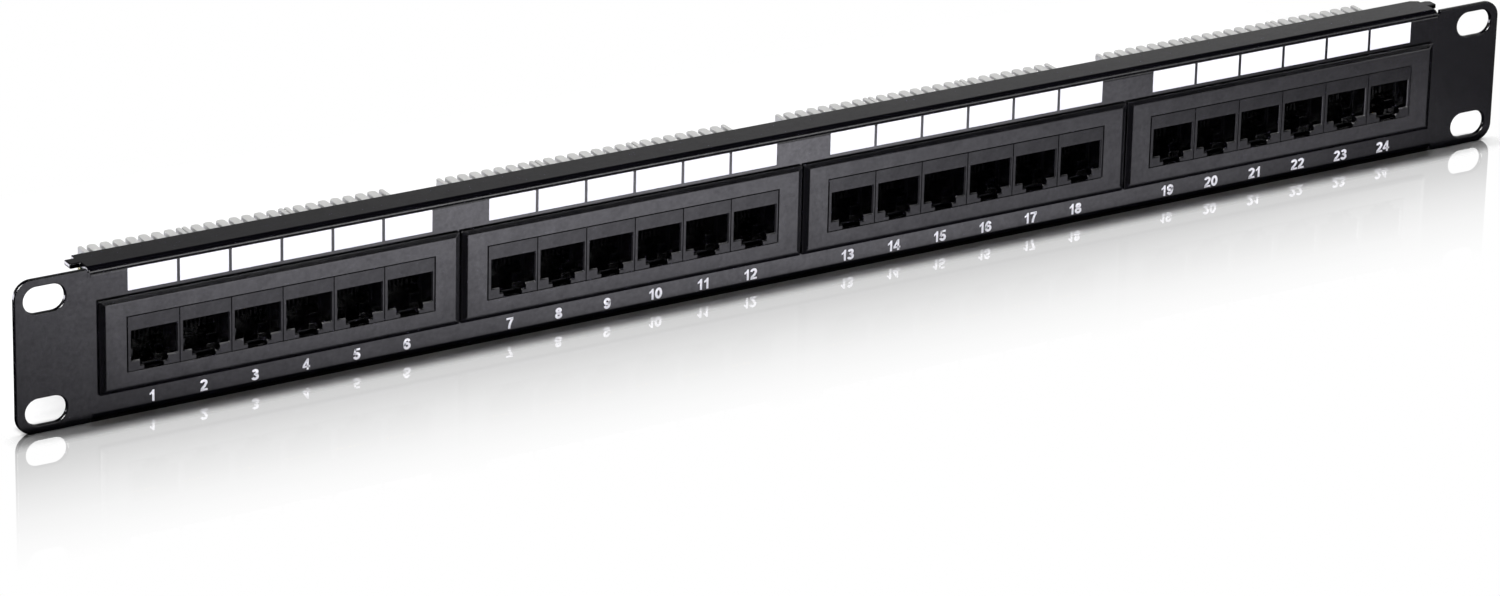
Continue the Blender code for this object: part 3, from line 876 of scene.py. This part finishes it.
def comb_mesh():
    """The insert that parts the wires: a back plate with nine ribs."""
    half, rib_y, root_y, rear_y = 5.75, 9.9, 11.7, 12.3
    outline = toothed_edge(half, WIRE_X, half_gap=0.36, root=root_y,
                           tip=lambda x0, x1: [(x0, rib_y), (x1, rib_y)])
    outline += [(half, rear_y), (-half, rear_y)]
    return round_edges(prism_mesh("contact_comb", outline, -3.9, 1.6, "XY"), 0.06, 2, 30.0)


def build_jacks():
    body, springs, comb = jack_mesh(), springs_mesh(), comb_mesh()
    for n, jack in enumerate(JACKS, 1):
        at = (jack.x, FRONT, jack.z)
        add_piece(f"jack_body_{n:02d}", body, at, JACK_MAT, "jack_plastic",
                  f"jack_housing_{n:02d}", smooth=50)
        add_piece(f"contact_springs_{n:02d}", springs, at, GOLD_MAT, "contact_gold",
                  smooth=60, weighted=False)
        add_piece(f"contact_comb_{n:02d}", comb, at, JACK_MAT, "jack_plastic", smooth=50)


# --- circuit boards ---------------------------------------------------------------------
PIN_Z = (1.36, 3.9)                         # the two staggered rows of pins
# where the jacks' pins come through a board, eight for each jack
PINS = [(jack_x + x, PIN_Z[k % 2])
        for jack_x in spread(6, JACK_PITCH) for k, x in enumerate(WIRE_X)]


def board_mesh():
    outline = round_rect(centred(BOARD_W), centred(BOARD_H), 1.0, 8)
    board = tool("board_blank", prism_mesh("board_blank", outline, *BOARD_Y))
    circle = arc(0, 0, PEG_HOLE_R, 0, 360 * 31 / 32, 31)
    for side, up in CORNERS:
        hole = prism_mesh("hole", circle, BOARD_Y[0] - CLEAR, BOARD_Y[1] + CLEAR)
        combine(board, f"hole_{side}_{up}", hole, (side * PEG_X, 0, up * PEG_Z + MODULE_Z))
    return round_edges(evaluated(board, "board"), 0.07, 2, 35.0)


def solder_mesh():
    """Solder joints: a concave cone round the trimmed end of every pin."""
    radius, height, lead = 0.62, 0.62, 0.23
    rings = [(radius, 0.0), (radius * 0.72, height * 0.22), (radius * 0.50, height * 0.55),
             (radius * 0.40, height), (lead, height * 1.05), (lead, height * 1.55),
             (lead * 0.6, height * 1.72)]
    rings = [(ring_radius, BOARD_Y[1] + y) for ring_radius, y in rings]
    shape = bmesh.new()
    for x, z in PINS:
        add_turned(shape, rings, sides=14, x=x, z=z)
    return to_mesh(shape, "solder")


def track_path(pin_x, pin_z, way_x, upward):
    block_z = 5.6
    if not upward:
        return [(pin_x, pin_z), (pin_x, -0.2), (way_x, -4.0), (way_x, -block_z)]
    if abs(pin_x - way_x) > 0.1:
        return [(pin_x, pin_z), (pin_x, 4.5 if pin_z > 2 else 2.6), (way_x, block_z)]
    return [(pin_x, pin_z), (way_x, block_z)]


def track_mesh():
    """Copper tracks from the pins to the blocks, as raised lines under the mask."""
    shape = bmesh.new()
    board_y = BOARD_Y[1]
    width, thick, overlap, shortest = 0.34, 0.045, 0.08, 0.05
    ways = [block_x + x for block_x in spread(3, BLOCK_PITCH) for x in WAY_X]
    # each pair of jacks shares a column of blocks: the first goes up, the second down
    for n, (pin_x, pin_z) in enumerate(PINS):
        jack, k = divmod(n, 8)
        way_x = ways[(jack // 2) * 8 + k]
        path = track_path(pin_x, pin_z, way_x, upward=jack % 2 == 0)
        for (x0, z0), (x1, z1) in zip(path, path[1:]):
            run, rise = x1 - x0, z1 - z0
            length = math.hypot(run, rise)
            if length < shortest:
                continue
            across_x, across_z = -rise / length * width / 2, run / length * width / 2
            end_x, end_z = run / length * overlap, rise / length * overlap
            quad = [(x0 - end_x + across_x, z0 - end_z + across_z),
                    (x0 - end_x - across_x, z0 - end_z - across_z),
                    (x1 + end_x - across_x, z1 + end_z - across_z),
                    (x1 + end_x + across_x, z1 + end_z + across_z)]
            add_prism(shape, quad, board_y - 0.01, board_y + thick)
    return to_mesh(shape, "tracks")


def build_boards():
    board, tracks, solder = board_mesh(), track_mesh(), solder_mesh()
    for i, module in enumerate(MODULES, 1):
        at = (module.x, FRONT, module.z - MODULE_Z)
        add_piece(f"board_{i}", board, at, BOARD_MAT, "circuit_board", f"circuit_board_{i}",
                  smooth=50)
        add_piece(f"board_tracks_{i}", tracks, at, TRACK_MAT, "circuit_board")
        add_piece(f"solder_joints_{i}", solder, at, SOLDER_MAT, "contact_tin", smooth=60,
                  weighted=False)


# --- punch-down blocks ------------------------------------------------------------------
def tooth_tip(x0, x1, steps=7):
    """The rounded end of one tooth between two wire slots."""
    radius = min(TIP_R, (x1 - x0) / 2 - 0.03)
    y = BLOCK_Y[1] - radius
    return (arc(x0 + radius, y, radius, 180, 90, steps)
            + arc(x1 - radius, y, radius, 90, 0, steps))


def block_mesh(z):
    half, foot = BLOCK_W / 2, BLOCK_Y[0]
    outline = [(half, foot), (-half, foot)]
    outline += toothed_edge(half, WAY_X, WIRE_SLOT_W / 2, BLOCK_ROOT_Y, tooth_tip)
    return round_edges(prism_mesh("block", outline, *z, "XY"), 0.26, 3, 50.0)


def clips_mesh(z):
    """Forked clips: two tines with a flared mouth in every wire slot."""
    shape = bmesh.new()
    inner, outer, thick = 0.13, WIRE_SLOT_W / 2 - 0.03, 0.42
    root_y, flare_y, tip_y = BLOCK_ROOT_Y + 0.05, 25.4, 26.5
    tine = [(inner, root_y), (inner, flare_y), (outer - 0.04, tip_y), (outer, tip_y),
            (outer, root_y)]
    for way_x in WAY_X:
        for side in (-1, 1):
            points = [(way_x + side * x, y) for x, y in tine]
            add_prism(shape, points, z - thick / 2, z + thick / 2, "XY")
    return round_edges(to_mesh(shape, "clips"), 0.035, 2, 35.0)


def build_blocks():
    low, high = BLOCK_Z
    middle = sum(BLOCK_Z) / 2
    blocks = block_mesh(BLOCK_Z), block_mesh((-high, -low))
    clips = clips_mesh(middle), clips_mesh(-middle)
    for row, block, clip in zip(("upper", "lower"), blocks, clips):
        for n in range(1, 13):
            node = f"idc_block_{row}_{n:02d}"
            at = (node_centre(node).x, FRONT, 0)
            add_piece(f"punch_block_{row}_{n:02d}", block, at, IDC_MAT, "idc_plastic", node,
                      smooth=50)
            add_piece(f"wire_clips_{row}_{n:02d}", clip, at, TIN_MAT, "contact_tin", smooth=50)


# --- print on the sheet -----------------------------------------------------------------
def build_labels():
    half = (LABEL_PITCH - LABEL_GAP) / 2
    for i, module in enumerate(MODULES, 1):
        shape = bmesh.new()
        for offset in spread(6, LABEL_PITCH):
            x = offset + LABEL_SHIFT
            add_prism(shape, round_rect((x - half, x + half), LABEL_Z, 0.12, 3), *INK_Y)
        add_piece(f"label_cells_{i}", to_mesh(shape, "label_cells"), (module.x, FRONT, 0),
                  INK_MAT, "label_print")


# Numerals are drawn in a box of height 1. "fill" is a filled outline, "line" and
# "loop" are the centre lines of open and closed strokes.
STROKE = 0.225


def bend(x, z, radius_x, radius_z, start, end, steps):
    """Centre line of a curved stroke; the radii reach its outer side."""
    inset = STROKE / 2
    return oval_arc(x, z, radius_x - inset, radius_z - inset, start, end, steps)


def ring(x, z, radius_x, radius_z, steps):
    return "loop", bend(x, z, radius_x, radius_z, 0, 360, steps)[:-1]


SIX = [ring(0.355, 0.325, 0.335, 0.325, 36),
       ("line", bend(0.365, 0.50, 0.355, 0.50, 32, 205, 24))]
NUMERALS = {
    "0": [ring(0.35, 0.5, 0.35, 0.5, 40)],
    "1": [("fill", [(0.30, 0.0), (0.50, 0.0), (0.50, 1.0), (0.34, 1.0), (0.28, 0.90),
                    (0.19, 0.81), (0.08, 0.75), (0.08, 0.575), (0.20, 0.625), (0.30, 0.70)])],
    "2": [("line", bend(0.345, 0.70, 0.345, 0.30, 172, -38, 22)
           + [(0.42, 0.40), (0.25, 0.26), (0.14, 0.12)]),
          ("fill", [(0.02, 0.0), (0.69, 0.0), (0.69, 0.175), (0.08, 0.175)])],
    "3": [("line", bend(0.34, 0.735, 0.315, 0.265, 165, -78, 20)),
          ("line", bend(0.335, 0.300, 0.345, 0.300, 82, -168, 24)),
          ("fill", [(0.23, 0.465), (0.40, 0.465), (0.40, 0.62), (0.23, 0.62)])],
    "4": [("fill", [(0.39, 0.0), (0.58, 0.0), (0.58, 1.0), (0.41, 1.0), (0.39, 0.97)]),
          ("fill", [(0.01, 0.21), (0.70, 0.21), (0.70, 0.37), (0.01, 0.37)]),
          ("fill", [(0.01, 0.37), (0.01, 0.35), (0.20, 0.35), (0.46, 0.76), (0.46, 1.0),
                    (0.41, 1.0)])],
    "5": [("fill", [(0.15, 0.825), (0.64, 0.825), (0.64, 1.0), (0.14, 1.0)]),
          ("fill", [(0.04, 0.475), (0.225, 0.45), (0.30, 1.0), (0.14, 1.0)]),
          ("line", bend(0.34, 0.335, 0.345, 0.335, 140, -168, 28))],
    "6": SIX,
    "7": [("fill", [(0.03, 0.825), (0.68, 0.825), (0.68, 1.0), (0.03, 1.0)]),
          ("line", [(0.62, 0.88), (0.50, 0.70), (0.40, 0.50), (0.325, 0.28), (0.295, 0.0)])],
    "8": [ring(0.35, 0.745, 0.30, 0.255, 32), ring(0.35, 0.290, 0.345, 0.290, 36)],
    "9": [(kind, [(0.70 - u, 1.0 - v) for u, v in points]) for kind, points in SIX],
}


def ribbon_sides(points, width, closed):
    """The points either side of a centre line."""
    count = len(points)
    sides = []
    for i, (u, v) in enumerate(points):
        before, after = points[i - 1], points[(i + 1) % count]
        if not closed and i == 0:
            before = (2 * u - points[1][0], 2 * v - points[1][1])
        if not closed and i == count - 1:
            after = (2 * u - points[-2][0], 2 * v - points[-2][1])
        arriving = Vector((u - before[0], v - before[1])).normalized()
        leaving = Vector((after[0] - u, after[1] - v)).normalized()
        tangent = (arriving + leaving).normalized()
        reach = width / 2 / max(0.5, tangent.dot(leaving))
        sides.append([(u - tangent.y * reach, v + tangent.x * reach),
                      (u + tangent.y * reach, v - tangent.x * reach)])
    return sides


def add_ribbon(shape, points, width, closed, place):
    """A flat stroke of constant width, with a little thickness."""
    sides = ribbon_sides(points, width, closed)
    front, back = [[[shape.verts.new(place(p, y)) for p in pair] for pair in sides]
                   for y in INK_Y]
    count = len(points)
    corners = []
    for i in range(count if closed else count - 1):
        j = (i + 1) % count
        corners += [(front[i][0], front[j][0], front[j][1], front[i][1]),
                    (back[i][1], back[j][1], back[j][0], back[i][0]),
                    (front[i][0], back[i][0], back[j][0], front[j][0]),
                    (front[i][1], front[j][1], back[j][1], back[i][1])]
    if not closed:
        corners += [(front[0][0], front[0][1], back[0][1], back[0][0]),
                    (front[-1][1], front[-1][0], back[-1][0], back[-1][1])]
    faces = [shape.faces.new(face) for face in corners]
    bmesh.ops.recalc_face_normals(shape, faces=faces)


def add_number(shape, text, centre_x):
    """A port number in bold strokes, centred on centre_x."""
    foot = NUMBER_Z[0]
    height = NUMBER_Z[1] - foot
    # advances and final width as shares of the height; a 1 is narrower
    steps = [0.64 if digit == "1" else 0.75 for digit in text]
    width = sum(steps[:-1]) + (0.58 if text[-1] == "1" else 0.71)
    for k, digit in enumerate(text):
        left = centre_x + (sum(steps[:k]) - width / 2) * height

        def place(point, y):
            return Vector((left + point[0] * height, y, foot + point[1] * height)) * MM

        for kind, points in NUMERALS[digit]:
            if kind == "fill":
                add_prism(shape, [(left + u * height, foot + v * height) for u, v in points],
                          *INK_Y)
            else:
                add_ribbon(shape, points, STROKE, kind == "loop", place)


def build_numbers():
    for i, module in enumerate(MODULES):
        shape = bmesh.new()
        for n in range(i * 6, i * 6 + 6):
            add_number(shape, str(n + 1), JACKS[n].x - module.x)
        add_piece(f"port_numbers_{i + 1}", to_mesh(shape, "port_numbers"),
                  (module.x, FRONT, 0), INK_MAT, "label_print")


# --- floor and surroundings, in metres --------------------------------------------------
# brightness of the floor in the sheen of the front: (x, strength)
SWEEP = [(-0.40, 0.30), (-0.27, 0.70), (-0.208, 1.20), (-0.164, 1.75), (-0.106, 2.3),
         (-0.061, 2.9), (0.0, 3.1), (0.047, 3.15), (0.10, 2.6), (0.155, 1.85), (0.21, 0.80),
         (0.264, 0.30), (0.40, 0.20)]
# how that brightness grows away from the panel: (distance in front, factor)
NEAR = [(0.0, 0.0), (0.0032, 0.03), (0.0060, 0.60), (0.009, 0.68), (0.02, 0.80), (0.06, 1.0),
        (0.09, 1.12)]
# how strongly the polished floor mirrors: (distance in front, share)
MIRROR = [(0.0, 0.66), (0.005, 0.64), (0.010, 0.41), (0.020, 0.335), (0.035, 0.20),
          (0.050, 0.10), (0.064, 0.04), (0.078, 0.0), (0.09, 0.0)]


def floor_seen(graph, x, ahead):
    """What the camera sees: white paper, plain white further out, with a polish."""
    # painted shadow: the floor's colour is darkened in a strip right under the panel
    painted_foot_shadow = graph.times(graph.ramp(ahead, span=(0.0002, -0.0002)),
                        graph.ramp(ahead, span=(-0.0072, -0.0045)),
                        graph.ramp(graph.absolute(x), span=(0.2400, 0.2375)))
    diffuse = graph.node("ShaderNodeBsdfDiffuse")
    graph.put(diffuse.inputs["Color"], graph.mix(painted_foot_shadow, (0.93, 0.93, 0.935), (0.02, 0.02, 0.02)))
    # plain white in front, far behind and beyond the ends
    away = graph.highest(graph.ramp(ahead, span=(0.0058, 0.0098)),
                         graph.ramp(ahead, span=(-0.06, -0.16)),
                         graph.ramp(graph.absolute(x), span=(0.2420, 0.2462)))
    page = graph.mix_shaders(away, diffuse.outputs[0], graph.emission(strength=1.0))
    glossy = graph.node("ShaderNodeBsdfGlossy")
    glossy.inputs["Color"].default_value = (1, 1, 1, 1)
    glossy.inputs["Roughness"].default_value = 0.0
    polish = graph.times(graph.curve(ahead, MIRROR), graph.ramp(ahead, span=(-0.012, -0.004)))
    polish = graph.times(polish, graph.minus(1.0, painted_foot_shadow))
    return graph.mix_shaders(polish, page, glossy.outputs[0])


def floor_glow(graph, x, ahead, incoming, glossy_ray):
    """Light the floor throws back onto the object and into its sheen."""
    back_x, back_y, back_z = graph.split(incoming)      # these point back along the ray
    near = graph.curve(ahead, NEAR)
    front_side = graph.ramp(ahead, span=(-0.004, 0.0))
    # bright only for rays that head to the front right
    rightward = graph.times(
        graph.ramp(graph.times(back_x, -1.0), span=(0.08, 0.40), to=(0.02, 1.0)),
        graph.ramp(back_y, span=(0.30, 0.62), to=(0.03, 1.0)))
    sheen = graph.times(graph.curve(x, SWEEP), near, rightward,
                        graph.ramp(back_z, span=(0.61, 0.47)))
    # behind the panel, a glow for rays that head left
    behind_glow = graph.times(graph.ramp(ahead, span=(-0.1000, -0.1012)),
                              graph.ramp(back_x, span=(0.30, 0.38), to=(0.3, 8.0)))
    # a patch to the front left, seen only by edges turned that way
    leftward = graph.times(graph.ramp(back_x, span=(0.60, 0.72)),
                           graph.ramp(back_y, span=(0.28, 0.38)),
                           graph.times(graph.ramp(back_z, span=(0.29, 0.33)),
                                       graph.ramp(back_z, span=(0.46, 0.42))),
                           graph.ramp(x, span=(-0.15, 0.18), to=(0.3, 3.5)))
    sheen = graph.plus(sheen, leftward)
    sheen = graph.plus(graph.times(sheen, front_side),
                       graph.times(graph.minus(1.0, front_side), behind_glow))
    # the same for soft rays
    bounce = graph.ramp(near, span=(0.0, 1.0), to=(0.5, 2.9))
    bounce_behind = 0.9
    bounce = graph.plus(graph.times(bounce, front_side),
                        graph.times(graph.minus(1.0, front_side), bounce_behind))
    return graph.emission(graph.either(glossy_ray, sheen, bounce), color=(1.0, 0.985, 1.075))


def floor_material():
    mat = bpy.data.materials.new("floor_white")
    graph = cleared_graph(mat)
    geometry = graph.node("ShaderNodeNewGeometry").outputs
    path = graph.node("ShaderNodeLightPath").outputs
    x, y, _ = graph.split(geometry["Position"])
    ahead = graph.minus(FRONT * MM, y)
    seen = floor_seen(graph, x, ahead)
    glow = floor_glow(graph, x, ahead, geometry["Incoming"], path["Is Glossy Ray"])
    output = graph.node("ShaderNodeOutputMaterial")
    graph.put(output.inputs["Surface"], graph.mix_shaders(path["Is Camera Ray"], glow, seen))
    mat.cycles.emission_sampling = "NONE"
    return mat


def film_material():
    mat = bpy.data.materials.new("floor_film_clear")
    graph = cleared_graph(mat)
    clear = graph.node("ShaderNodeBsdfTransparent")
    graph.put(graph.node("ShaderNodeOutputMaterial").inputs["Surface"], clear.outputs[0])
    return mat


def build_floor():
    shape = bmesh.new()
    bmesh.ops.create_grid(shape, x_segments=8, y_segments=8, size=6.0)
    mesh = to_mesh(shape, "floor")
    floor = link("floor", mesh, STAGE, (0, 0, FLOOR_Z - 0.02))
    # a clear film on the floor, which only marks the rays that the floor mirrors
    film = link("floor_film", mesh.copy(), STAGE, (0, 0, FLOOR_Z - 0.012))
    mesh.materials.append(floor_material())
    film.data.materials.append(film_material())


def world_sheen(graph, x, y, z, mirrored_depth):
    """What glossy rays pick up in the direction (x, y, z)."""
    # in front: a bright low sweep, a dark band, a thin bright band, then black
    low_strength = 2.6
    low = graph.times(graph.ramp(z, span=(0.22, 0.05)), low_strength)
    band = graph.times(graph.ramp(z, span=(0.53, 0.57)), graph.ramp(z, span=(0.71, 0.67)),
                       graph.ramp(x, span=(0.48, 0.56), to=(5.2, 1.2)))
    fore = graph.times(graph.highest(low, band),
                       graph.ramp(x, span=(-0.1, 0.3), to=(0.04, 1.0)))
    # the panel's own mirror image in the floor is lit like the panel
    again = graph.ramp(mirrored_depth, span=(0.4, 0.6))
    least = 0.006
    fore = graph.highest(fore, least, graph.times(
        again, graph.ramp(x, span=(0.0, 0.4), to=(0.1, 2.2))))
    # behind: a dim backdrop that brightens to the right
    aft = graph.times(graph.ramp(x, span=(0.36, 0.60), to=(0.145, 0.54)),
                      graph.ramp(z, span=(0.54, 0.42), to=(0.005, 1.0)))
    behind = graph.ramp(y, span=(-0.05, 0.10))
    sheen = graph.plus(graph.times(fore, graph.minus(1.0, behind)), graph.times(aft, behind))
    # a small bright source in front, up to the left, fading from 11 to 17 degrees
    nearness = graph.dot(graph.coords, Vector((-0.51, -0.61, 0.61)).normalized())
    rim = (math.cos(math.radians(17)), math.cos(math.radians(11)))
    spot_strength = 60.0
    return graph.plus(sheen, graph.times(graph.ramp(nearness, span=rim), spot_strength))


def build_world():
    world = bpy.data.worlds.new("studio")
    graph = cleared_graph(world, "Generated")
    bpy.context.scene.world = world
    world.cycles.sampling_method = "NONE"
    x, y, z = graph.split(graph.coords)
    path = graph.node("ShaderNodeLightPath").outputs
    # soft light comes from behind, with almost none from the front
    soft = graph.ramp(y, span=(-0.05, 0.16), to=(0.03, 0.42))
    sheen = world_sheen(graph, x, y, z, path["Transparent Depth"])
    level = graph.either(path["Is Glossy Ray"], sheen, soft)
    # plain white to the camera and in perfect mirrors
    seen = graph.highest(path["Is Camera Ray"], path["Is Singular Ray"])
    background = graph.node("ShaderNodeBackground")
    background.inputs["Color"].default_value = (1, 1, 1, 1)
    graph.put(background.inputs["Strength"], graph.highest(level, seen))
    graph.put(graph.node("ShaderNodeOutputWorld").inputs["Surface"], background.outputs[0])


# --- light and camera -------------------------------------------------------------------
def build_light():
    """One large soft light overhead, a little behind the panel's front (metres, watts)."""
    place, target = Vector((0.0, 0.142, 0.978)), Vector((0.0, 0.142, 0.0))
    light = bpy.data.lights.new("key_overhead", "AREA")
    light.shape = "RECTANGLE"
    light.size, light.size_y = 1.5, 0.16
    light.energy = 15.4
    key = bpy.data.objects.new("key_overhead", light)
    STAGE.objects.link(key)
    key.location = place
    key.rotation_mode = "QUATERNION"
    key.rotation_quaternion = (target - place).to_track_quat("-Z", "Y")
    key.visible_glossy = False


def build_camera():
    """A long lens from the front left, looking down at the panel."""
    # angles in radians
    yaw, pitch, roll = 0.5498390040715528, 0.3837346684822142, 0.024036016291368784
    target = Vector((-15.916859137644263, FRONT, -24.73264011393544))
    distance = 1881.4543863025172
    view = Vector((math.sin(yaw) * math.cos(pitch), math.cos(yaw) * math.cos(pitch),
                   -math.sin(pitch)))
    level_right = Vector((math.cos(yaw), -math.sin(yaw), 0.0))
    level_up = level_right.cross(view)
    right = math.cos(roll) * level_right + math.sin(roll) * level_up
    up = -math.sin(roll) * level_right + math.cos(roll) * level_up
    data = bpy.data.cameras.new("camera")
    data.sensor_width = 36.0
    data.lens = 161.42553041605
    data.clip_start, data.clip_end = 0.05, 50.0
    camera = bpy.data.objects.new("camera", data)
    STAGE.objects.link(camera)
    matrix = Matrix((right, up, -view)).transposed().to_4x4()
    matrix.translation = (target - distance * view) * MM
    camera.matrix_world = matrix
    bpy.context.scene.camera = camera


build_sheet()
build_bezels()
build_jacks()
build_boards()
build_blocks()
build_labels()
build_numbers()
for leftover in list(TOOLS.objects):
    bpy.data.objects.remove(leftover, do_unlink=True)
bpy.data.collections.remove(TOOLS)
build_floor()
build_world()
build_light()
build_camera()
bpy.context.scene.view_settings.view_transform = "Standard"
bpy.context.scene.view_settings.look = "None"
